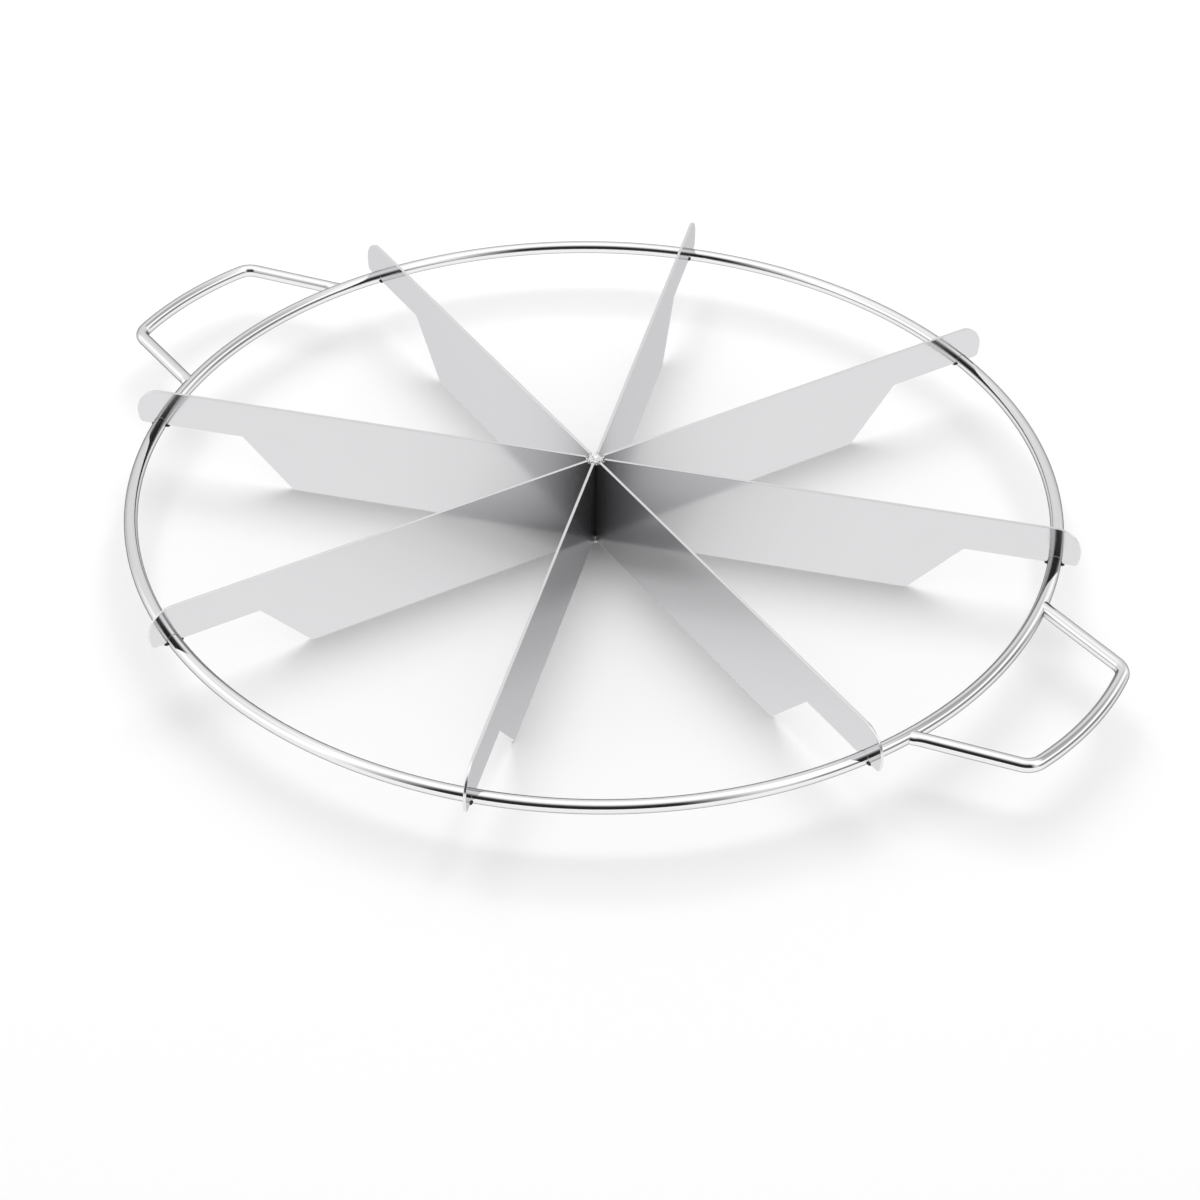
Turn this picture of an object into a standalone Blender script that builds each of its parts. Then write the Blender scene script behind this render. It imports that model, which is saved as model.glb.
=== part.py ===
"""Cake portion marker: eight steel blades on a centre pin, held by a rim ring with two wire handles.

Metres, +Z up. The origin is on the pin's axis, in the plane that the blades' lower edges rest on,
and the two handles lie along X.
"""
import math

import bmesh
import bpy
from mathutils import Matrix, Vector

# Fits
FIT_GAP = 0.0003              # clearance between pieces that touch or are welded

# Blades: strips of sheet standing on edge, with a slim tongue at the outer end
BLADE_COUNT = 8
BLADE_HEIGHT = 0.029
BLADE_THICKNESS = 0.0008
BLADE_TO_HANDLE_DEG = 24.0    # turn from the handle's axis to the first blade
TONGUE_DEPTH = 0.012
TONGUE_LENGTH = 0.026         # from the top of the step to the rim's centre line
TONGUE_OVERHANG = 0.007       # from the rim's centre line to the tip
STEP_RUN = 0.0152             # how far the sloping step reaches along the blade
TIP_TOP_RADIUS = 0.008
TIP_LOWER_RADIUS = 0.0013
TIP_LEAN_DEG = 9.0            # how far the tip's end leans in, below its round top corner

# Rim: one hoop of round wire, in a notch under each tongue
RIM_RADIUS = 0.135            # to the wire's centre line
RIM_WIRE = 0.0039
RIM_WIRE_PROUD = 0.00155      # how far the wire stands below the tongues

# Centre pin
PIN_DIAMETER = 0.0024
PIN_CHAMFER = 0.0004

# Handles: bent wire, butt welded to the rim's outer side
HANDLE_WIRE = 0.0039
HANDLE_ROOT_SPREAD = 0.0692   # between the two legs' centre lines at the rim
HANDLE_GRIP_SPREAD = 0.0496   # between the two bends, where leg and grip would cross
HANDLE_REACH = 0.0274         # from the rim's centre line to those bends
HANDLE_BOW = 0.0030           # how far the grip's middle stands out past its bends
HANDLE_BEND_RADIUS = 0.0055
WELD_FLARE = 1.08             # width of the weld at a leg's foot, over the wire's width
WELD_FLARE_LENGTH = 0.0030

# Welds: a bead on each side of the rim under each tongue, and a cap over each end of the pin
RIM_BEAD_WIDTH = 0.0018
RIM_BEAD_HEIGHT = 0.0012
HUB_WELD_RADIUS = 0.0025
HUB_WELD_LOBE = 0.0002        # how far the cap swells out between the blades
HUB_WELD_HEIGHT = 0.0012
HUB_WELD_ROUNDING = 0.0006

# Mesh fineness
RIM_STEPS = 120
RIM_SIDES = 16
ARC_STEPS = 8
HANDLE_BEND_STEPS = 6
HANDLE_BOW_STEPS = 12
FLARE_STEPS = 3
PIN_SIDES = 16
BEAD_SIDES = 8
HUB_WELD_SIDES = 48
HUB_WELD_STEPS = 4
JOIN_DISTANCE = 0.00001       # points nearer than this are one point

# Heights that follow
TONGUE_UNDERSIDE = BLADE_HEIGHT - TONGUE_DEPTH
RIM_HEIGHT = TONGUE_UNDERSIDE - RIM_WIRE_PROUD + RIM_WIRE / 2


def clear_scene():
    """Start from an empty scene."""
    for old in list(bpy.data.objects):
        bpy.data.objects.remove(old, do_unlink=True)


def steel(name, colour, roughness):
    """Bare stainless steel."""
    material = bpy.data.materials.new(name)
    material.use_nodes = True
    shader = material.node_tree.nodes["Principled BSDF"]
    shader.inputs["Base Color"].default_value = (*colour, 1.0)
    shader.inputs["Metallic"].default_value = 1.0
    shader.inputs["Roughness"].default_value = roughness
    material.diffuse_color = (*colour, 1.0)
    return material


def add_object(name, bm, material, smooth_below=40.0):
    """Turn a bmesh into a named object with one material."""
    bmesh.ops.recalc_face_normals(bm, faces=bm.faces)
    mesh = bpy.data.meshes.new(name)
    bm.to_mesh(mesh)
    bm.free()
    mesh.materials.append(material)
    mesh.shade_smooth()
    mesh.set_sharp_from_angle(angle=math.radians(smooth_below))
    obj = bpy.data.objects.new(name, mesh)
    bpy.context.scene.collection.objects.link(obj)
    return obj


def arc(centre, radius, start_deg, end_deg, steps):
    """Points on an arc, both ends included."""
    points = []
    for step in range(steps + 1):
        turn = math.radians(start_deg + (end_deg - start_deg) * step / steps)
        points.append((centre[0] + radius * math.cos(turn), centre[1] + radius * math.sin(turn)))
    return points


def notch_outline():
    """The notch that the rim sits in, from its inner mouth over its top to its outer mouth."""
    half = RIM_WIRE / 2 + FIT_GAP
    points = [(RIM_RADIUS - half, TONGUE_UNDERSIDE)]
    for point in arc((RIM_RADIUS, RIM_HEIGHT), half, 180, 0, ARC_STEPS):
        if point[1] > TONGUE_UNDERSIDE:
            points.append(point)
    points.append((RIM_RADIUS + half, TONGUE_UNDERSIDE))
    return points


def blade_outline():
    """Outline of one blade seen from its side: distance from the pin's axis, and height."""
    inner_end = PIN_DIAMETER / 2 + FIT_GAP
    weld_end = HUB_WELD_RADIUS + FIT_GAP
    weld_depth = HUB_WELD_HEIGHT + FIT_GAP
    step_top = RIM_RADIUS - TONGUE_LENGTH
    tip = RIM_RADIUS + TONGUE_OVERHANG
    lower_radius = min(TIP_LOWER_RADIUS, TONGUE_OVERHANG - RIM_WIRE / 2 - 2 * FIT_GAP)
    top_radius = min(TIP_TOP_RADIUS, TONGUE_DEPTH - lower_radius)
    points = [(inner_end, weld_depth), (weld_end, weld_depth), (weld_end, 0.0)]
    points += [(step_top - STEP_RUN, 0.0), (step_top, TONGUE_UNDERSIDE)]
    points += notch_outline()
    top_centre = (tip - top_radius, BLADE_HEIGHT - top_radius)
    lean = math.radians(TIP_LEAN_DEG)
    straight = TONGUE_DEPTH - top_radius - lower_radius
    across = (top_radius - lower_radius - straight * math.sin(lean)) / math.cos(lean)
    lower_centre = (top_centre[0] + across, TONGUE_UNDERSIDE + lower_radius)
    points += arc(lower_centre, lower_radius, -90, -TIP_LEAN_DEG, ARC_STEPS // 2)
    points += arc(top_centre, top_radius, -TIP_LEAN_DEG, 90, ARC_STEPS)
    points += [(weld_end, BLADE_HEIGHT), (weld_end, BLADE_HEIGHT - weld_depth)]
    points.append((inner_end, BLADE_HEIGHT - weld_depth))
    return points


def make_blade(number, material):
    """One blade, cut from sheet and stood on edge."""
    bm = bmesh.new()
    half = BLADE_THICKNESS / 2
    corners = [bm.verts.new((along, -half, up)) for along, up in blade_outline()]
    face = bm.faces.new(corners)
    grown = bmesh.ops.extrude_face_region(bm, geom=[face])
    moved = [item for item in grown["geom"] if isinstance(item, bmesh.types.BMVert)]
    bmesh.ops.translate(bm, vec=(0, BLADE_THICKNESS, 0), verts=moved)
    blade = add_object(f"blade_{number}", bm, material)
    blade.rotation_euler.z = blade_angle(number)
    return blade


def blade_angle(number):
    """Where a blade points, in radians from the handles' axis."""
    return math.radians(BLADE_TO_HANDLE_DEG + (number - 1) * 360 / BLADE_COUNT)


def make_rim(material):
    """The hoop: a round wire section spun round the pin's axis."""
    bm = bmesh.new()
    section = []
    for side in range(RIM_SIDES):
        turn = 2 * math.pi * side / RIM_SIDES
        distance = RIM_RADIUS + RIM_WIRE / 2 * math.cos(turn)
        section.append(bm.verts.new((distance, 0, RIM_HEIGHT + RIM_WIRE / 2 * math.sin(turn))))
    edges = [bm.edges.new((section[side - 1], section[side])) for side in range(RIM_SIDES)]
    bmesh.ops.spin(bm, geom=section + edges, axis=(0, 0, 1), cent=(0, 0, 0), dvec=(0, 0, 0),
                   angle=2 * math.pi, steps=RIM_STEPS, use_merge=True, use_duplicate=False)
    return add_object("rim_ring", bm, material)


def make_pin(material):
    """The pin that the blades are welded round, between the two hub welds."""
    bm = bmesh.new()
    height = BLADE_HEIGHT - 2 * (HUB_WELD_HEIGHT + FIT_GAP)
    bmesh.ops.create_cone(bm, cap_ends=True, segments=PIN_SIDES, radius1=PIN_DIAMETER / 2,
                          radius2=PIN_DIAMETER / 2, depth=height,
                          matrix=Matrix.Translation((0, 0, BLADE_HEIGHT / 2)))
    rims = [edge for edge in bm.edges if abs(edge.verts[0].co.z - edge.verts[1].co.z) < PIN_CHAMFER]
    bmesh.ops.bevel(bm, geom=rims, offset=PIN_CHAMFER, segments=1, affect="EDGES")
    return add_object("centre_pin", bm, material)


def rounded_corner(before, corner, after, radius, steps):
    """Points of the bend that rounds one corner of a bent wire."""
    towards = (before - corner).normalized()
    away = (after - corner).normalized()
    half_angle = towards.angle(away) / 2
    cut = radius / math.tan(half_angle)
    middle = corner + (towards + away).normalized() * (radius / math.sin(half_angle))
    start = corner + towards * cut - middle
    end = corner + away * cut - middle
    points = []
    for step in range(steps + 1):
        points.append(middle + start.slerp(end, step / steps).normalized() * radius)
    return points


def handle_path():
    """Centre line of the handle at +X, from one foot to the other."""
    bend_x = RIM_RADIUS + HANDLE_REACH
    lower_bend = Vector((bend_x, -HANDLE_GRIP_SPREAD / 2, 0))
    upper_bend = Vector((bend_x, HANDLE_GRIP_SPREAD / 2, 0))
    foot_x = math.sqrt(RIM_RADIUS ** 2 - (HANDLE_ROOT_SPREAD / 2) ** 2)
    lower_foot = Vector((foot_x, -HANDLE_ROOT_SPREAD / 2, 0))
    upper_foot = Vector((foot_x, HANDLE_ROOT_SPREAD / 2, 0))
    half = HANDLE_GRIP_SPREAD / 2
    bow_radius = (half ** 2 + HANDLE_BOW ** 2) / (2 * HANDLE_BOW)
    bow_centre = bend_x + HANDLE_BOW - bow_radius
    reach = math.degrees(math.asin(half / bow_radius))
    bow = arc((bow_centre, 0), bow_radius, -reach, reach, HANDLE_BOW_STEPS)
    middle = [Vector((x, y, 0)) for x, y in bow if abs(y) < half - HANDLE_BEND_RADIUS]
    path = [lower_foot]
    path += flare_points(lower_foot, lower_bend)
    path += rounded_corner(lower_foot, lower_bend, middle[0], HANDLE_BEND_RADIUS, HANDLE_BEND_STEPS)
    path += middle
    path += rounded_corner(middle[-1], upper_bend, upper_foot, HANDLE_BEND_RADIUS, HANDLE_BEND_STEPS)
    path += reversed(flare_points(upper_foot, upper_bend))
    path.append(upper_foot)
    return path


def flare_points(foot, bend):
    """Points along a leg where its weld narrows to the wire."""
    along = (bend - foot).normalized()
    points = []
    for step in range(FLARE_STEPS + 1):
        distance = RIM_WIRE / 2 + WELD_FLARE_LENGTH * step / FLARE_STEPS
        points.append(foot + along * distance)
    return points


def wire_width(point, feet):
    """The handle's width at a point, over the wire's own width."""
    nearest = min((point - foot).length for foot in feet)
    past_rim = max(nearest - RIM_WIRE / 2, 0.0)
    share = min(past_rim / WELD_FLARE_LENGTH, 1.0)
    return WELD_FLARE + (1.0 - WELD_FLARE) * math.sin(share * math.pi / 2)


def make_handle(name, angle, material):
    """One handle: a bent wire whose feet are cut flat against the rim."""
    path = handle_path()
    feet = (path[0], path[-1])
    curve = bpy.data.curves.new(name + "_wire", "CURVE")
    curve.dimensions = "3D"
    curve.bevel_depth = HANDLE_WIRE / 2
    curve.bevel_resolution = 2
    curve.use_fill_caps = True
    spline = curve.splines.new("POLY")
    spline.points.add(len(path) - 1)
    for place, point in zip(spline.points, path):
        place.co = (*point, 1.0)
        place.radius = wire_width(point, feet)
    wire = bpy.data.objects.new(name + "_wire", curve)
    bpy.context.scene.collection.objects.link(wire)
    bm = bmesh.new()
    bm.from_mesh(wire.to_mesh())
    wire.to_mesh_clear()
    bpy.data.objects.remove(wire, do_unlink=True)
    bmesh.ops.remove_doubles(bm, verts=bm.verts, dist=JOIN_DISTANCE)
    for foot in feet:
        cut_foot(bm, foot)
    handle = add_object(name, bm, material)
    handle.location.z = RIM_HEIGHT
    handle.rotation_euler.z = angle
    return handle


def cut_foot(bm, foot):
    """Cut one foot by the plane that lies along the rim's outer side there."""
    outward = foot.normalized()
    plane = outward * (RIM_RADIUS + RIM_WIRE / 2 + FIT_GAP)
    near = [vert for vert in bm.verts if (vert.co - foot).length < HANDLE_ROOT_SPREAD / 2]
    near_faces = {face for vert in near for face in vert.link_faces}
    near_edges = {edge for vert in near for edge in vert.link_edges}
    geometry = near + list(near_edges) + list(near_faces)
    cut = bmesh.ops.bisect_plane(bm, geom=geometry, plane_co=plane, plane_no=outward,
                                 clear_inner=True)
    rim_edges = [item for item in cut["geom_cut"] if isinstance(item, bmesh.types.BMEdge)]
    bmesh.ops.contextual_create(bm, geom=rim_edges)


def make_rim_bead(number, side, material):
    """One bead beside the rim, under a tongue: side is -1 inside the rim and 1 outside it."""
    height = TONGUE_UNDERSIDE - FIT_GAP - RIM_BEAD_HEIGHT / 2
    from_wire = RIM_WIRE / 2 + FIT_GAP + RIM_BEAD_WIDTH / 2
    below_wire = min(RIM_HEIGHT - height, RIM_WIRE / 2)
    distance = RIM_RADIUS + side * math.sqrt(from_wire ** 2 - below_wire ** 2)
    size = (RIM_BEAD_WIDTH / 2, RIM_BEAD_WIDTH / 2, RIM_BEAD_HEIGHT / 2, 1.0)
    shape = Matrix.Translation((distance, 0, height)) @ Matrix.Diagonal(size)
    bm = bmesh.new()
    bmesh.ops.create_uvsphere(bm, u_segments=BEAD_SIDES, v_segments=BEAD_SIDES // 2, radius=1.0,
                              matrix=shape)
    where = "inner" if side < 0 else "outer"
    bead = add_object(f"rim_weld_{number}_{where}", bm, material, smooth_below=180.0)
    bead.rotation_euler.z = blade_angle(number)
    return bead


def hub_weld_ring(bm, inset, height):
    """One turn of the cap's lobed outline: it is widest midway between the blades."""
    ring = []
    for side in range(HUB_WELD_SIDES):
        turn = 2 * math.pi * side / HUB_WELD_SIDES
        lobe = HUB_WELD_LOBE * math.cos(BLADE_COUNT * (turn - blade_angle(1)))
        radius = HUB_WELD_RADIUS - inset - lobe
        ring.append(bm.verts.new((radius * math.cos(turn), radius * math.sin(turn), height)))
    return ring


def make_hub_weld(name, inner_end, outer_end, material):
    """The cap of weld over one end of the pin, with a rounded outer edge and a flat end."""
    bm = bmesh.new()
    outward = math.copysign(1.0, outer_end - inner_end)
    rings = [hub_weld_ring(bm, 0.0, inner_end)]
    for step in range(HUB_WELD_STEPS + 1):
        turn = math.pi / 2 * step / HUB_WELD_STEPS
        inset = HUB_WELD_ROUNDING * (1 - math.cos(turn))
        below = HUB_WELD_ROUNDING * (1 - math.sin(turn))
        rings.append(hub_weld_ring(bm, inset, outer_end - outward * below))
    for lower, upper in zip(rings, rings[1:]):
        for side in range(HUB_WELD_SIDES):
            bm.faces.new((lower[side - 1], lower[side], upper[side], upper[side - 1]))
    bm.faces.new(rings[0])
    bm.faces.new(rings[-1])
    return add_object(name, bm, material)


clear_scene()
sheet_steel = steel("bright_annealed_sheet", (0.62, 0.62, 0.63), 0.16)
wire_steel = steel("polished_wire", (0.66, 0.66, 0.66), 0.05)
weld_steel = steel("weld_metal", (0.50, 0.49, 0.47), 0.28)
make_rim(wire_steel)
make_pin(wire_steel)
make_handle("handle_right", 0.0, wire_steel)
make_handle("handle_left", math.pi, wire_steel)
for blade_number in range(1, BLADE_COUNT + 1):
    make_blade(blade_number, sheet_steel)
    make_rim_bead(blade_number, -1, weld_steel)
    make_rim_bead(blade_number, 1, weld_steel)
make_hub_weld("hub_weld_top", BLADE_HEIGHT - HUB_WELD_HEIGHT, BLADE_HEIGHT, weld_steel)
make_hub_weld("hub_weld_bottom", HUB_WELD_HEIGHT, 0.0, weld_steel)
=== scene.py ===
# %% [markdown]
# # A portion marker in bright stainless steel
# The marker is pressed into a round top to mark eight equal portions. Eight strips of thin sheet
# stand on edge round a small centre pin, and a hoop of wire under their outer ends keeps them
# evenly apart. Two bent wire handles are welded to the hoop.
#
# The imported model gives the sizes. Each of its plain solids is replaced by a finer piece here, in
# the same place, so this cell loads it.

# %% Load the imported model
import math

import bmesh
import bpy
from mathutils import Matrix, Vector


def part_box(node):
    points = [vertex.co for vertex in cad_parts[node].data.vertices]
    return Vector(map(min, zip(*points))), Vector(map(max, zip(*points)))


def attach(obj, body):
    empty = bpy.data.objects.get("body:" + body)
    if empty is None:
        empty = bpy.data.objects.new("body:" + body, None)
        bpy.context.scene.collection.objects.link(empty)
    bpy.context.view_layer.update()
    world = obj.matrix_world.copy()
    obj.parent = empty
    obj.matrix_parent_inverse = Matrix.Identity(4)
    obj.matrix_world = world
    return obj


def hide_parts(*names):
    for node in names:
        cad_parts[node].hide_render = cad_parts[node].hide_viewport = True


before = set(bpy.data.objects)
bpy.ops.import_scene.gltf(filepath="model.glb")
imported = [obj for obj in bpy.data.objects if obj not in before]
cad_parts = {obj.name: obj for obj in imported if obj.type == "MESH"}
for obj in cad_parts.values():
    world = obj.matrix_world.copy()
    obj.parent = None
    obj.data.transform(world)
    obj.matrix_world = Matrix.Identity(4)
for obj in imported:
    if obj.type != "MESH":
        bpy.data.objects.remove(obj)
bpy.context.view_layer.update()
MM = 0.001
print("packed nodes:", len(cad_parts))

# %% [markdown]
# ## Sizes
# Wherever a node's box gives a size, it is read from there. The rest, such as a bend's radius, is
# written in metres where it is first needed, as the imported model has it. Real pieces touch where
# they are welded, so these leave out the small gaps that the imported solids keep.

# %% Sizes of the pieces
BLADE_COUNT = 8
FIRST_BLADE_DEG = 24.0
TONGUE_HEIGHT = 12.0 * MM

rim_low, rim_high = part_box("rim_ring")
RIM_WIRE = rim_high.z - rim_low.z
RIM_RADIUS = rim_high.x - RIM_WIRE / 2
RIM_HEIGHT = (rim_high.z + rim_low.z) / 2
BLADE_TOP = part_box("blade_1")[1].z
TONGUE_UNDERSIDE = BLADE_TOP - TONGUE_HEIGHT
print(f"rim radius {RIM_RADIUS / MM:.1f} mm, at {RIM_HEIGHT / MM:.1f} mm of {BLADE_TOP / MM:.1f}")


def blade_angle(number):
    """Where a blade points, in radians from the handles' axis."""
    return math.radians(FIRST_BLADE_DEG + (number - 1) * 360 / BLADE_COUNT)


# %% [markdown]
# ## Material helpers
# A finish is a small graph of shader nodes. One function adds a node with its settings and links,
# and another turns a written sRGB colour into the linear values that shaders use. Every finish
# here is steel, so a third makes the shader a metal and links what differs. Pattern scales come
# from a real spacing: a noise of scale 1 has features about 1 m apart, so a spacing of 2 mm is a
# scale of 1 / 0.002.

# %% Helpers for materials
def linear(hex_colour):
    """An sRGB colour such as '#D8D8DA' as linear red, green, blue and alpha."""
    channels = []
    for place in (1, 3, 5):
        value = int(hex_colour[place:place + 2], 16) / 255
        channels.append(value / 12.92 if value <= 0.04045 else ((value + 0.055) / 1.055) ** 2.4)
    return (*channels, 1.0)


def per_metre(spacing_mm):
    """The pattern scale that puts features this many millimetres apart."""
    return 1.0 / (spacing_mm * MM)


def add_node(tree, kind, settings=None, **links):
    """Add a node. Settings are its properties; links are values or sockets for its inputs."""
    made = tree.nodes.new(kind)
    for name, value in (settings or {}).items():
        setattr(made, name, value)
    for name, value in links.items():
        number = name[1:]
        socket = made.inputs[int(number) if number.isdigit() else name.replace("_", " ")]
        if isinstance(value, bpy.types.NodeSocket):
            tree.links.new(value, socket)
        else:
            socket.default_value = value
    return made


def new_material(name):
    """An empty material with its Principled shader."""
    material = bpy.data.materials.new(name)
    material.use_nodes = True
    return material, material.node_tree, material.node_tree.nodes["Principled BSDF"]


def finish_metal(tree, shader, colour, roughness, normal=None):
    """Make the shader a metal, and link its colour, its roughness and, if it has one, its bump."""
    shader.inputs["Metallic"].default_value = 1.0
    tree.links.new(colour, shader.inputs["Base Color"])
    tree.links.new(roughness, shader.inputs["Roughness"])
    if normal is not None:
        tree.links.new(normal, shader.inputs["Normal"])


print("a spacing of 2 mm is a pattern scale of", round(per_metre(2.0)))

# %% [markdown]
# ## Bright annealed stainless sheet
# The blades are thin 18/8 stainless strip. It is annealed bright, without scale, so it keeps the
# rolls' near mirror: it shows its surroundings with a slight blur. Two things make it look
# real. The rolls leave hair lines along the strip, and the sheet is never quite flat, so what it
# mirrors bends a little. Hair lines are about 0.05 mm apart, too fine to show, so they are drawn
# 0.6 mm apart and very faint. Handling leaves faint cloudy patches about 15 mm across.
#
# Near the hub the sheet's colour is darkened as painted shade, for the shade in the corners
# between the blades. It is darkest at the pin and fades away along the strip: an exponential with a
# reach of 12.6 mm. The sheet is also made duller there, so it mirrors the dark corners by the pin
# with soft borders. Between two blades the light is mirrored several times, and each time the
# painted shade takes its share, so those corners go nearly black.
#
# The patterns follow each blade because they are read from the object's own coordinates, whose X
# runs along the strip, from the pin's axis. A pattern scale below 1 along X draws lines out.

# %% Bright annealed sheet
HAIR_SPACING_MM = 0.6
HAIR_DRAWN_OUT = (0.02, 1.0, 1.0)
HAIR_DEPTH = 0.0015 * MM
CLOUD_SPACING_MM = 15.0
WAVE_SPACING_MM = 45.0
WAVE_HEIGHT = 0.12 * MM
# Painted shade: the sheet's colour darkens towards the pin, for the shade between the blades.
HUB_PAINTED_SHADE = 0.58
HUB_SHADE_REACH = 12.6 * MM
HUB_DULLNESS = 0.30


def bright_annealed_sheet():
    """Near mirror with hair lines, cloudy patches, slight waves and painted shade near the hub."""
    material, tree, shader = new_material("bright_annealed_stainless_sheet")
    place = add_node(tree, "ShaderNodeTexCoord").outputs["Object"]
    along = add_node(tree, "ShaderNodeMapping", Vector=place, Scale=HAIR_DRAWN_OUT)
    hair = add_node(tree, "ShaderNodeTexNoise", Vector=along.outputs[0],
                    Scale=per_metre(HAIR_SPACING_MM), Detail=3.0, Roughness=0.6)
    cloud = add_node(tree, "ShaderNodeTexNoise", Vector=place,
                     Scale=per_metre(CLOUD_SPACING_MM), Detail=2.0)
    wave = add_node(tree, "ShaderNodeTexNoise", Vector=place,
                    Scale=per_metre(WAVE_SPACING_MM), Detail=0.0)
    blur = add_node(tree, "ShaderNodeMapRange", Value=cloud.outputs["Fac"], From_Min=0.35,
                    From_Max=0.7, To_Min=0.07, To_Max=0.11)
    lined = add_node(tree, "ShaderNodeMath", {"operation": "MULTIPLY_ADD"},
                     _0=hair.outputs["Fac"], _1=0.02, _2=blur.outputs["Result"])
    tone = add_node(tree, "ShaderNodeMix", {"data_type": "RGBA"}, _0=hair.outputs["Fac"],
                    _6=linear("#DDDDDF"), _7=linear("#DFDFE0"))
    # Painted shade near the pin, fading along the strip.
    from_pin = add_node(tree, "ShaderNodeSeparateXYZ", Vector=place).outputs["X"]
    reach = add_node(tree, "ShaderNodeMath", {"operation": "MULTIPLY"},
                     _0=from_pin, _1=-1.0 / HUB_SHADE_REACH)
    hub_shade_fading = add_node(tree, "ShaderNodeMath", {"operation": "EXPONENT"}, _0=reach.outputs[0])
    kept = add_node(tree, "ShaderNodeMath", {"operation": "MULTIPLY_ADD"},
                    _0=hub_shade_fading.outputs[0], _1=-HUB_PAINTED_SHADE, _2=1.0)
    painted_shade_tone = add_node(tree, "ShaderNodeVectorMath", {"operation": "SCALE"},
                       _0=tone.outputs[2], Scale=kept.outputs[0])
    dulled = add_node(tree, "ShaderNodeMath", {"operation": "MULTIPLY_ADD"},
                      _0=hub_shade_fading.outputs[0], _1=HUB_DULLNESS, _2=lined.outputs[0])
    bent = add_node(tree, "ShaderNodeBump", Strength=0.5, Distance=WAVE_HEIGHT,
                    Height=wave.outputs["Fac"])
    scored = add_node(tree, "ShaderNodeBump", Strength=0.12, Distance=HAIR_DEPTH,
                      Height=hair.outputs["Fac"], Normal=bent.outputs["Normal"])
    shader.inputs["Specular Tint"].default_value = linear("#DCDCDE")
    finish_metal(tree, shader, painted_shade_tone.outputs[0], dulled.outputs[0], scored.outputs["Normal"])
    return material


sheet = bright_annealed_sheet()
print("made", sheet.name)

# %% [markdown]
# ## Blanked sheet edge
# The strips are punched out, then tumbled so that the edge won't cut a finger. A punched edge has
# fine lines across the sheet's thickness, about 0.1 mm apart, and is duller than the face. It
# looks like a thin white line from above because it mirrors the light overhead. It gets its own
# finish, drawn with lines 0.3 mm apart.

# %% Blanked edge
SHEAR_SPACING_MM = 0.3
SHEAR_DRAWN_OUT = (1.0, 0.1, 0.6)
SHEAR_DEPTH = 0.01 * MM


def blanked_edge():
    """A satin edge with fine shear lines across the sheet."""
    material, tree, shader = new_material("blanked_and_tumbled_stainless_edge")
    place = add_node(tree, "ShaderNodeTexCoord").outputs["Object"]
    across = add_node(tree, "ShaderNodeMapping", Vector=place, Scale=SHEAR_DRAWN_OUT)
    shear = add_node(tree, "ShaderNodeTexNoise", Vector=across.outputs[0],
                     Scale=per_metre(SHEAR_SPACING_MM), Detail=2.0)
    blur = add_node(tree, "ShaderNodeMapRange", Value=shear.outputs["Fac"], From_Min=0.3,
                    From_Max=0.7, To_Min=0.16, To_Max=0.28)
    tone = add_node(tree, "ShaderNodeMix", {"data_type": "RGBA"}, _0=shear.outputs["Fac"],
                    _6=linear("#E2E2E2"), _7=linear("#F4F4F4"))
    lines = add_node(tree, "ShaderNodeBump", Strength=0.3, Distance=SHEAR_DEPTH,
                     Height=shear.outputs["Fac"])
    finish_metal(tree, shader, tone.outputs[2], blur.outputs["Result"], lines.outputs["Normal"])
    return material


edge = blanked_edge()
print("made", edge.name)

# %% [markdown]
# ## Polished stainless wire
# The hoop and the handles are drawn wire. Drawing leaves lines along its length, which polishing
# nearly removes, so it mirrors more sharply than the sheet. Real ones are finer than 0.1 mm, so
# they are drawn 0.5 mm apart round the wire. They follow it because each wire's mesh carries a map
# in metres: along the wire and round it. Steel mirrors a little less at a grazing angle, which the
# specular tint sets. Here it is set far darker than bare steel's, as painted shade: it draws a
# fine grey line along both sides of the wire.

# %% Polished wire
DRAWN_SPACING_MM = 0.5
DRAWN_OUT = (0.015, 1.0, 1.0)
DRAWN_DEPTH = 0.002 * MM
HANDLED_SPACING_MM = 9.0
WIRE_MAP = "along_and_round"


def polished_wire():
    """A sharp mirror with faint lines along the wire and cloudy patches from handling."""
    material, tree, shader = new_material("polished_stainless_wire")
    place = add_node(tree, "ShaderNodeUVMap", {"uv_map": WIRE_MAP}).outputs["UV"]
    along = add_node(tree, "ShaderNodeMapping", Vector=place, Scale=DRAWN_OUT)
    drawn = add_node(tree, "ShaderNodeTexNoise", Vector=along.outputs[0],
                     Scale=per_metre(DRAWN_SPACING_MM), Detail=3.0, Roughness=0.6)
    cloud = add_node(tree, "ShaderNodeTexNoise", Vector=place,
                     Scale=per_metre(HANDLED_SPACING_MM), Detail=2.0)
    blur = add_node(tree, "ShaderNodeMapRange", Value=cloud.outputs["Fac"], From_Min=0.35,
                    From_Max=0.7, To_Min=0.05, To_Max=0.09)
    tone = add_node(tree, "ShaderNodeMix", {"data_type": "RGBA"}, _0=drawn.outputs["Fac"],
                    _6=linear("#ECECEC"), _7=linear("#F5F5F5"))
    lines = add_node(tree, "ShaderNodeBump", Strength=0.2, Distance=DRAWN_DEPTH,
                     Height=drawn.outputs["Fac"])
    # Painted shade: this specular tint, far darker than bare steel's, draws dark lines along the
    # wire.
    shader.inputs["Specular Tint"].default_value = linear("#6C6C6E")
    finish_metal(tree, shader, tone.outputs[2], blur.outputs["Result"], lines.outputs["Normal"])
    return material


wire = polished_wire()
print("made", wire.name)

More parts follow.
